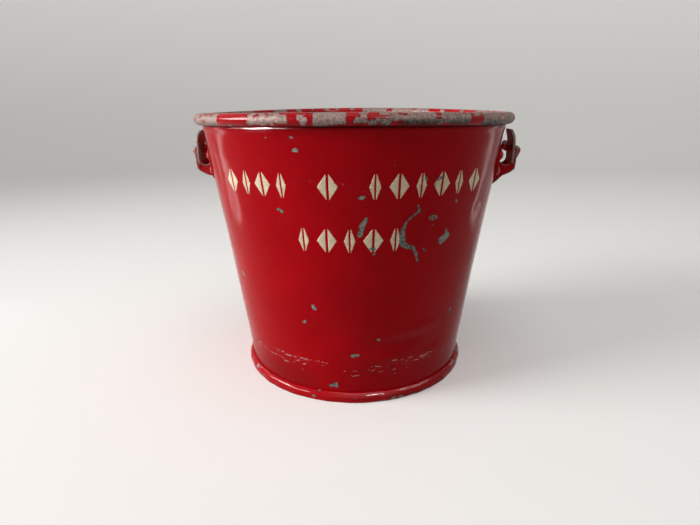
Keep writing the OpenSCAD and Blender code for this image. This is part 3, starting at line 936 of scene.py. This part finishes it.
# %% [markdown]
# ## The foot hoop
# The hoop is a strip folded under the wall and up inside. Its outside is a soft half round that was
# dressed down with a hammer, so it sits a little lower than it was folded and the light along it
# wanders. A lathe ring would be too perfect, and here its radius and height waver by a few tenths of a
# millimetre while its underside stays flat to stand on.

# %% Build the hoop
# in mm: the strip's thickness, how far its top is dressed down, the height of its inner lip, and the
# radius inside which it lies in the dark under the wall
HOOP_FOLD = 1.2
HOOP_DRESSED = 1.5
HOOP_LIP = 6.5
HOOP_INSIDE = 111


def hoop_section():
    outer, top = hoop_high[0], hoop_high[2] - HOOP_DRESSED
    shoulder, fall, heel = 3.9, 4.8, 1.6
    heel_arc = np.radians(np.linspace(-90, 0, 6))
    shoulder_arc = np.radians(np.linspace(0, 90, 14))
    inner = wall_radius(0) - 2 * sheet - HOOP_FOLD + 0.6
    points = [(x, 0.0) for x in np.linspace(inner, outer - heel - 1, 5)]
    points += [(outer - heel + heel * math.cos(t), heel + heel * math.sin(t)) for t in heel_arc]
    points += [(outer, z) for z in np.linspace(heel + 1.1, top - fall - 1.1, 3)]
    points += [(outer - shoulder + shoulder * math.cos(t), top - fall + fall * math.sin(t))
               for t in shoulder_arc]
    points += [(wall_radius(z) - 0.25, z) for z in (top + 0.02, 8, 4, HOOP_FOLD)]
    points += [(wall_radius(HOOP_FOLD) - 2 * sheet - 0.02, HOOP_FOLD)]
    points += [(wall_radius(z) - 2 * sheet - 0.02, z) for z in (3.5, HOOP_LIP)]
    points += [(wall_radius(z) - 2 * sheet - HOOP_FOLD, z) for z in (HOOP_LIP - 0.2, 3.5, 1.0, 0.4)]
    return np.array(points)


def build_hoop():
    section = hoop_section()
    azimuth = np.radians(np.arange(-180, 180, 0.75))[None, :]
    radius, z = section[:, 0][:, None], section[:, 1][:, None]
    off_wall = radius - wall_radius(12)
    outside = ease((off_wall - 0.3) / 2.5)
    waver = 0.16 * np.sin(9 * azimuth + 1) + 0.14 * np.sin(23 * azimuth) + 0.10 * np.sin(41 * azimuth + 2)
    lift = 0.22 * np.sin(7 * azimuth) + 0.16 * np.sin(19 * azimuth + 1) - 0.30
    points = around(radius + (waver - 0.38) * outside, azimuth, z + lift * ease((z - 4) / 5) * outside)
    hoop = new_piece("foot_hoop", points.reshape(-1, 3), grid_faces(len(section), azimuth.shape[1]),
                     materials=(hoop_paint,))
    place = np.broadcast_to(azimuth, points.shape[:2])
    chip = np.where(off_wall > -1, hoop_field(place, z), -3)
    chip = np.maximum(chip, np.where(z < 0.05, 1.5, FAR))
    crest = ease((z - 5) / 2.5) * ease(off_wall)
    in_front = between(place, -0.25, 0.25, 0.52, 0.2)
    # painted shade: the hoop is darkened where it lies in under the wall
    under_wall_shade = np.broadcast_to(0.5 * ease((HOOP_INSIDE - radius) / 2), chip.shape)
    set_fields(hoop, chip=chip, scuff=0.25, grime=under_wall_shade, pooled=crest * (0.06 + 0.58 * in_front))
    return hoop


hoop = build_hoop()
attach(hoop, "pail")
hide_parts("foot_ring")
print("hoop:", len(hoop.data.vertices), "points")

# %% [markdown]
# ## The stencilled marks
# The bucket carries two rows of marks in cream paint, brushed through a cut stencil, so each figure is
# broken into separate strokes. A picture mapped on to the wall would blur at the edges. Each stroke is a
# thin closed slab of paint that follows the dented wall, with an edge that bled a little. The figures
# are a plain border of diamonds, wide and slim in turn, each cut in two by the stencil's bridge.

# %% Stencil strokes
# in mm: a figure's height, how far its paint stands out of the wall and reaches in, the length of a step
MARK_HEIGHT = 19.5
PAINT_PROUD, PAINT_SUNK = 0.09, 0.05
STROKE_STEP = 0.6
# in mm: the widths of the two diamonds, and the heights of the two rows
WIDE, SLIM = 15.5, 8.5
UPPER, LOWER = 203.2, 159.3

# azimuth in degrees of its middle, height of its middle, width in mm
MARKS = [
    (-45.0, UPPER, WIDE), (-36.9, UPPER, SLIM), (-29.4, UPPER, WIDE), (-21.7, UPPER, SLIM),
    (-5.7, UPPER, WIDE), (9.5, UPPER, SLIM), (17.4, UPPER, WIDE), (25.2, UPPER, SLIM),
    (33.2, UPPER, WIDE), (41.0, UPPER, SLIM), (49.6, UPPER, WIDE),
    (-15.2, LOWER, SLIM), (-6.8, LOWER, WIDE), (1.2, LOWER, SLIM), (9.4, LOWER, WIDE), (17.3, LOWER, SLIM),
]


def half_diamonds(width):
    """Each half of a diamond cut by the stencil's bridge: its straight side, where it widens and how far."""
    bridge = 0.55 + width / 34
    return [(x, side, width / 2 - bridge) for x, side in ((-bridge, 1), (bridge, -1))]


def stroke_slab(line, side, reach, azimuth0, z0, seed):
    """Points and faces of one half diamond: a thin slab of paint on the wall, upright and widest half way."""
    length, widths = MARK_HEIGHT, 9
    steps = int(length / STROKE_STEP) + 2
    t = np.linspace(0, length, steps)[:, None]
    w = np.linspace(-0.5, 0.5, widths)[None, :]
    bleed = 0.16 * np.sin(2.1 * t + 1.7 * seed) + 0.10 * np.sin(5.3 * t + seed)
    bleed = bleed + 0.08 * np.sin(9.7 * t - seed)
    spread = 0.35 + (reach + bleed) * (1 - np.abs(2 * t / length - 1))
    across = line - (w + side / 2) * spread + 0.10 * np.sin(12.4 * w + seed)
    z = z0 + t - length / 2 + 0.12 * np.sin(13.5 * w + 2 * seed)
    azimuth = math.radians(azimuth0) + across / wall_radius(z)
    margin = np.minimum(np.minimum(t, length - t), (0.5 - np.abs(w)) * spread)
    top = wall_point(azimuth, z, PAINT_PROUD)
    under = wall_point(azimuth, z, -PAINT_SUNK)
    count = steps * widths
    faces = grid_faces(steps, widths, False, False)
    faces += [face[::-1] for face in grid_faces(steps, widths, False, False, start=count)]
    rim = [i * widths for i in range(steps)] + [(steps - 1) * widths + j for j in range(1, widths)]
    rim += [i * widths + widths - 1 for i in range(steps - 2, -1, -1)] + list(range(widths - 2, 0, -1))
    faces += [[a, b, b + count, a + count] for a, b in zip(rim, rim[1:] + rim[:1])]
    fields = [np.concatenate([part.ravel()] * 2) for part in (chip_field(azimuth, z)[0], margin)]
    return np.concatenate([top.reshape(-1, 3), under.reshape(-1, 3)]), faces, fields


# %% [markdown]
# The cream paint is thin and old. It has lost its surface in small flecks where red shows through, more
# so along the edges, and where the wall is chipped the cream has gone with the red.

# %% Cream paint
CREAM = (0.84, 0.72, 0.50, 1)
YELLOWED = (0.66, 0.50, 0.32, 1)
SOIL = (0.40, 0.20, 0.13, 1)


def cream_paint():
    material, tree, shader = new_material("stencil_cream")
    where = add(tree, "TexCoord").outputs["Object"]
    cut = use_group(tree, flaking, Field=read(tree, "chip"), Ragged=0.5)
    zinc = use_group(tree, bare_zinc, Tone=0.55, Rust=0.1)
    cloud = ramp(tree, noise(tree, where, 260, 5, 0.7), 0.35, 0.7)
    cream = blend_colour(tree, cloud, CREAM, YELLOWED)
    soil = ramp(tree, noise(tree, where, 900, 4, 0.7), 0.52, 0.72, 0.0, 0.45)
    soiled = blend_colour(tree, soil, cream, SOIL)
    cover = times(tree, read(tree, "margin"), 0.10)
    thin = minus(tree, noise(tree, where, 700, 5, 0.72), cover)
    worn = blend_colour(tree, ramp(tree, thin, 0.53, 0.60), soiled, RED)
    colour = blend_colour(tree, cut.outputs["Bare"], worn, zinc.outputs["Colour"])
    bump = add(tree, "Bump", Height=times(tree, noise(tree, where, 1100, 3), 0.05), Distance=MM)
    fill(tree, shader, Base_Color=colour, Roughness=0.45, Specular_IOR_Level=0.35, Normal=bump.outputs[0])
    return material


def build_marks():
    points, faces, chips, margins = [], [], [], []
    offset = 0
    for number, (azimuth, height, width) in enumerate(MARKS):
        for stroke, shape in enumerate(half_diamonds(width)):
            slab, quads, (chip, margin) = stroke_slab(*shape, azimuth, height, number * 3.1 + stroke)
            points.append(slab)
            faces += [[corner + offset for corner in quad] for quad in quads]
            chips.append(chip)
            margins.append(margin)
            offset += len(slab)
    marks = new_piece("stencil_marks", np.concatenate(points), faces, materials=(cream_paint(),))
    set_fields(marks, chip=np.concatenate(chips), margin=np.concatenate(margins))
    return marks


marks = build_marks()
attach(marks, "pail")
print("stencil marks:", len(MARKS), "diamonds,", len(marks.data.polygons), "faces")

# %% [markdown]
# ## The ears
# Each ear is a thick plate bent into a pad, two cheeks and an upright strap with an eye. The imported ear
# has the right form with knife-sharp edges, and years of paint and handling have rounded the real one.
# Bevels would have to be chosen edge by edge. A fine voxel remesh and some smoothing rounds them all
# at once, and what was shaved off tells where the corners are, which is also where paint wears first.
# The left ear has been knocked bare inside its strap as well, in two places that are listed one by one.

# %% Build the ears
# size of the remesh's voxels in mm
EAR_VOXEL = 0.55
# where the strap's front edge is worn: distance from the axis to the middle of its thickness, and height
STRAP_X, STRAP_Z = 155.8, 215.5
# half the width over the cheeks, and where the pad shows beside them
CHEEK_Y, PAD_Y = 12.1, 13.5
# across from the middle, height, half width, half height in mm
EAR_KNOCKS = {"left": [(10.2, 216, 4.2, 9.5), (8, 237, 7, 2.6)], "right": []}
# a cheek's outer edge, which hands and hooks rub bare, as distance from the axis and height in mm
CHEEK_EDGE = [(160.1, 220.6), (158.6, 201.4), (154.3, 198), (149.2, 195.6)]


def remeshed(node, voxel):
    piece = new_object(node + "_skin", frame["nodes"][node].data.copy())
    modifier = piece.modifiers.new("remesh", "REMESH")
    modifier.mode = "VOXEL"
    modifier.voxel_size = voxel * MM
    graph = bpy.context.evaluated_depsgraph_get()
    mesh = bpy.data.meshes.new_from_object(piece.evaluated_get(graph))
    piece.modifiers.clear()
    piece.data = mesh
    mesh.name = piece.name
    return piece


def coordinates(mesh):
    values = np.empty(len(mesh.vertices) * 3)
    mesh.vertices.foreach_get("co", values)
    return values.reshape(-1, 3)


def relax(mesh, points, rounds, share=0.5):
    pairs = np.empty(len(mesh.edges) * 2, np.int64)
    mesh.edges.foreach_get("vertices", pairs)
    first, second = pairs.reshape(-1, 2).T
    count = np.bincount(first, minlength=len(points)) + np.bincount(second, minlength=len(points))
    for _ in range(rounds):
        total = np.zeros_like(points)
        np.add.at(total, first, points[second])
        np.add.at(total, second, points[first])
        points = points + share * (total / count[:, None] - points)
    return points


def soften(piece, rounds, corner_rounds):
    """Smooths the piece, and returns how far each point stands out from a rounder form, in mm."""
    mesh = piece.data
    points = relax(mesh, coordinates(mesh), rounds)
    mesh.vertices.foreach_set("co", points.ravel())
    mesh.update()
    normals = np.empty(len(points) * 3)
    mesh.vertices.foreach_get("normal", normals)
    rounder = relax(mesh, points, corner_rounds)
    mesh.polygons.foreach_set("use_smooth", np.ones(len(mesh.polygons), bool))
    return ((points - rounder) * normals.reshape(-1, 3)).sum(1) / MM


def ear_wear(side, stand_out, x, y, up):
    """The ear's chip field, from its corners, the strap's front, the cheeks' edges and the knocks."""
    out, across = np.abs(x), np.abs(y)
    on_pad = np.maximum(ease((203 - up) / 2) * ease((152 - out) / 3), 2 * ease((across - PAD_Y) / 1.5))
    worn = (stand_out - 0.17 - 0.12 * on_pad + 0.06 * ease(out - 157)) * 8
    strap_front = 1.5 - np.abs(out - STRAP_X) - ((up - STRAP_Z) / 8) ** 2 - 6 * ease((CHEEK_Y - across) / 0.5)
    worn = np.maximum(worn, strap_front)
    for (out0, up0), (out1, up1) in zip(CHEEK_EDGE, CHEEK_EDGE[1:]):
        away, _ = from_line(out - out0, up - up0, out1 - out0, up1 - up0)
        worn = np.maximum(worn, 1.4 - away / 0.8 - 3 * np.maximum(11 - across, 0))
    for middle, height, half_width, half_height in EAR_KNOCKS[side]:
        knock = 1.3 - ((across - middle) / half_width) ** 2 - ((up - height) / half_height) ** 2
        worn = np.maximum(worn, knock - 2 * np.maximum(out - 155.5, 0))
    behind = ease((y + 3) / 5)
    return np.clip(worn - 2.5 * behind, -6, 3)


def build_ear(side):
    ear = remeshed("ear_" + side, EAR_VOXEL)
    stand_out = soften(ear, rounds=3, corner_rounds=14)
    ear.data.materials.clear()
    ear.data.materials.append(ear_paint)
    chip = ear_wear(side, stand_out, *(coordinates(ear.data).T / MM))
    # painted shade: each ear is darkened where it lies below its rounder form, in its hollows and inside
    # corners
    set_fields(ear, chip=chip, scuff=0.1, grime=np.clip(-stand_out * 1.6 - 0.15, 0, 0.8))
    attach(ear, "pail")
    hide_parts("ear_" + side)
    return ear


ears = [build_ear(side) for side in ("left", "right")]
print("ears:", [len(ear.data.vertices) for ear in ears], "points")

# %% [markdown]
# ## Rivets and bottom
# The rivets and the pressed bottom have the right shape already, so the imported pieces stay. Only their
# finish changes. The rivets were painted over with the wall, and the bottom is bare zinc that sand and
# standing water have stained.

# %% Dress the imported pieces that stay
rivet_paint = painted_metal("rivet_painted_over", tone=0.4, rust=0.3, specks=0.06, fields=False)
bottom_metal = plain_metal("bottom_stained_zinc", 0.5, 0.9, 110.0)
for name, node in frame["nodes"].items():
    if name.startswith("ear_rivet_") or name == "bottom_disc":
        node.data.materials.clear()
        node.data.materials.append(bottom_metal if name == "bottom_disc" else rivet_paint)
        print("dressed as it is:", name)

# %% [markdown]
# ## The bail
# The bail is one length of rod, bent to a half circle, with each end turned in through an ear and bent
# back so that it can't slip out. A curve with a round bevel would draw it, but then the wear couldn't
# follow its length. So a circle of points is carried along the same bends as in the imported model, with
# the slight wobble of a rod bent over a former by hand.

# %% Build the bail
# in mm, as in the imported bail: the rod, its half circle, the elbows at the ears, and the bent-back tips
ROD_RADIUS = 3.0
BAIL_RADIUS = 163.5
ELBOW = 4.5
TIP_X = 148
TIP_BEND = 5
TIP_REACH = 11
PIVOT_Z = frame["joints"][0]["pos_m"][2] / MM
bail_low = box_mm("bail")[0]
bail_drop = math.acos(min(1, (PIVOT_Z - bail_low[2] - ROD_RADIUS) / (BAIL_RADIUS + ELBOW)))
print("the bail rests", round(math.degrees(bail_drop), 1), "degrees from straight down")


def bail_half():
    """Points from the turned-back end to the middle of the grip: x across, y from the pivots to the grip."""
    tip = [(TIP_X, y) for y in np.linspace(-TIP_REACH + 0.35, -TIP_BEND - 0.8, 5)]
    quarter = np.linspace(0, math.pi / 2, 9)
    bend = [(TIP_X + TIP_BEND - TIP_BEND * math.cos(t), -TIP_BEND + TIP_BEND * math.sin(t)) for t in quarter]
    pin = [(x, 0.0) for x in np.linspace(TIP_X + TIP_BEND + 1.2, BAIL_RADIUS - ELBOW - 1.2, 4)]
    elbow = [(BAIL_RADIUS - ELBOW + ELBOW * math.sin(t), ELBOW - ELBOW * math.cos(t)) for t in quarter]
    loop = [(BAIL_RADIUS * math.cos(t), ELBOW + BAIL_RADIUS * math.sin(t))
            for t in np.linspace(0, math.pi / 2, 80)[1:]]
    return tip + bend + pin + elbow + loop


def bail_path():
    half = bail_half()
    path = np.array(half + [(-x, y) for x, y in half[-2::-1]])
    run = np.concatenate([[0], np.cumsum(np.hypot(*np.diff(path, axis=0).T))])
    free = ease((np.minimum(run, run[-1] - run) - 34) / 30)
    path[:, 1] -= free * (0.35 + 0.35 * np.sin(run / 37))
    path[:, 0] += free * 0.3 * np.sin(run / 29 + 1)
    return path, run


def bail_wear(run, cap, turn_round):
    """Bare at the grip, at both tips and in the eyes, in streaks between, and outside below the ears."""
    grip = 2.2 - np.abs(run - run[-1] / 2) / 26
    ends = np.maximum(1.2 - cap / 1.6, 1.0 - np.abs(cap - 17) / 1.5)
    streaks = -1.5 + 0.9 * np.sin(run / 23) + 0.6 * np.sin(run / 9)
    worn = np.maximum(np.maximum(grip, ends), streaks)
    outer_side = (1.8 - np.abs(cap - 42) / 16)[:, None] - 3.5 * (1 + np.cos(turn_round))
    return np.clip(np.maximum(worn[:, None] + 1.2 * np.sin(turn_round + 0.6) - 0.4, outer_side), -6, 3)


def build_bail():
    path, run = bail_path()
    tangent = np.gradient(path, axis=0)
    tangent /= np.hypot(*tangent.T)[:, None]
    sides = 28
    turn_round = np.radians(np.arange(sides) * 360 / sides)[None, :]
    normal = np.stack([-tangent[:, 1], tangent[:, 0]], -1)
    size = ROD_RADIUS * (1 - 0.012 - 0.012 * np.sin(run / 17))[:, None]
    cap = np.minimum(run, run[-1] - run)
    size = size * np.sqrt(np.clip(1 - (1 - cap / 0.8).clip(0)[:, None] ** 2 * 0.75, 0, 1))
    flat = path[:, None, :] + normal[:, None, :] * (size * np.cos(turn_round))[..., None]
    lift = size * np.sin(turn_round)
    down, out = math.cos(bail_drop), math.sin(bail_drop)
    reach = flat[..., 1]
    points = np.stack([flat[..., 0], reach * out + lift * down, PIVOT_Z - reach * down + lift * out], -1)
    faces = [face[::-1] for face in grid_faces(len(path), sides, close_rows=False)]
    faces += [list(range(sides)), list(range((len(path) - 1) * sides, len(path) * sides))[::-1]]
    bail = new_piece("bail_rod", points.reshape(-1, 3), faces, materials=(rod_paint,))
    set_fields(bail, chip=bail_wear(run, cap, turn_round), scuff=0.4, grime=0)
    return bail


bail = build_bail()
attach(bail, "bail")
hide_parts("bail")
print("bail:", len(bail.data.vertices), "points")

# %% [markdown]
# ## Floor, room and lamps
# The bucket stands on a pale floor that curves up into a backdrop, so no horizon cuts the picture. Gloss
# paint shows whatever stands round it, and plain lamps alone leave it dead. A big soft lamp on the left
# and one above give the form. The others are only mirrored: two tall strips draw the streaks down the
# wall, three windows give the lines of light on the beads, and a small one the spark on the hoop.

# %% Floor and backdrop


def seen_ray(tree):
    """One for the rays that show a surface or the room, nought for those that only carry its light."""
    path = add(tree, "LightPath")
    seen = math_node(tree, "MAXIMUM", path.outputs["Is Camera Ray"], path.outputs["Is Glossy Ray"])
    return math_node(tree, "MAXIMUM", seen, path.outputs["Is Transmission Ray"])


def pale_surface(name, colour, carried, glow):
    """A matt surface of one colour to look at and a darker one to bounce light, so that it stays pale."""
    material, tree, shader = new_material(name)
    seen = seen_ray(tree)
    up = add(tree, "SeparateXYZ", Vector=add(tree, "TexCoord").outputs["Object"]).outputs["Z"]
    low, high = (tuple(channel * share for channel in colour[:3]) + (1,) for share in glow)
    lit = blend_colour(tree, ramp(tree, up, 0.05, 1.0), low, high)
    fill(tree, shader, Base_Color=blend_colour(tree, seen, carried, colour), Roughness=0.9,
         Emission_Color=blend_colour(tree, seen, (0, 0, 0, 1), lit), Emission_Strength=1,
         Specular_IOR_Level=0.1)
    return material


def build_floor():
    back, bend, side, top = 1500, 700, 3600, 3400
    arc = [(back + bend * math.sin(t), bend - bend * math.cos(t)) for t in np.linspace(0, math.pi / 2, 16)]
    profile = [(-side, 0), (0, 0)] + arc + [(back + bend, top)]
    points = [(x, y, z) for y, z in profile for x in (-side, side)]
    paper = pale_surface("floor_pale", (0.78, 0.77, 0.75, 1), (0.42, 0.41, 0.40, 1), (0.30, 0.52))
    floor = new_piece("floor", points, grid_faces(len(profile), 2, False, False), materials=(paper,))
    floor.matrix_world = turn
    return floor


floor = build_floor()

# %% Lamps and room light


def soft_box(name, azimuth, distance, height, width, tall, strength, aim_z, mirrored_only=False, spread=180):
    """A lamp of width by tall mm, at an azimuth from the camera's side, aimed at the bucket's axis."""
    lamp = bpy.data.lights.new(name, "AREA")
    lamp.shape = "RECTANGLE"
    lamp.size, lamp.size_y = width * MM, tall * MM
    lamp.energy = strength * math.pi * lamp.size * lamp.size_y
    lamp.spread = math.radians(spread)
    holder = new_object(name, lamp)
    spot = Vector(around(distance, math.radians(azimuth), height)) * MM
    aim = Vector((0, 0, aim_z * MM))
    look = (aim - spot).to_track_quat("-Z", "Y").to_matrix().to_4x4()
    holder.matrix_world = turn @ Matrix.Translation(spot) @ look
    holder.visible_camera = False
    holder.visible_diffuse = not mirrored_only
    return holder


soft_box("key_left", -77, 2400, 1100, 1400, 1150, 1.9, 200, spread=60)
soft_box("top_soft", 0, 500, 1900, 1200, 1200, 1.7, 100)
soft_box("strip_left", -103, 520, 190, 60, 370, 6.0, 190, mirrored_only=True)
soft_box("strip_right", 108, 520, 190, 60, 370, 2.4, 190, mirrored_only=True)
soft_box("window_left", -63, 1500, 545, 860, 110, 170.0, 240, mirrored_only=True)
soft_box("window_far_left", -87, 1500, 545, 420, 170, 40.0, 240, mirrored_only=True)
soft_box("window_right", 72, 1500, 1250, 1000, 500, 9.0, 200, mirrored_only=True)
soft_box("spark_right", 22, 1500, 1240, 150, 150, 90.0, 200, mirrored_only=True)


# how bright the room is as a light, and where it is seen or mirrored
ROOM_LIGHT, ROOM_SEEN = 0.28, 0.70


def room_light():
    world = bpy.data.worlds.new("room")
    world.use_nodes = True
    tree = world.node_tree
    strength = blend_value(tree, seen_ray(tree), ROOM_LIGHT, ROOM_SEEN)
    fill(tree, tree.nodes["Background"], Color=(1.0, 0.985, 0.96, 1), Strength=strength)
    bpy.context.scene.world = world


room_light()
bpy.context.scene.view_settings.view_transform = "Standard"
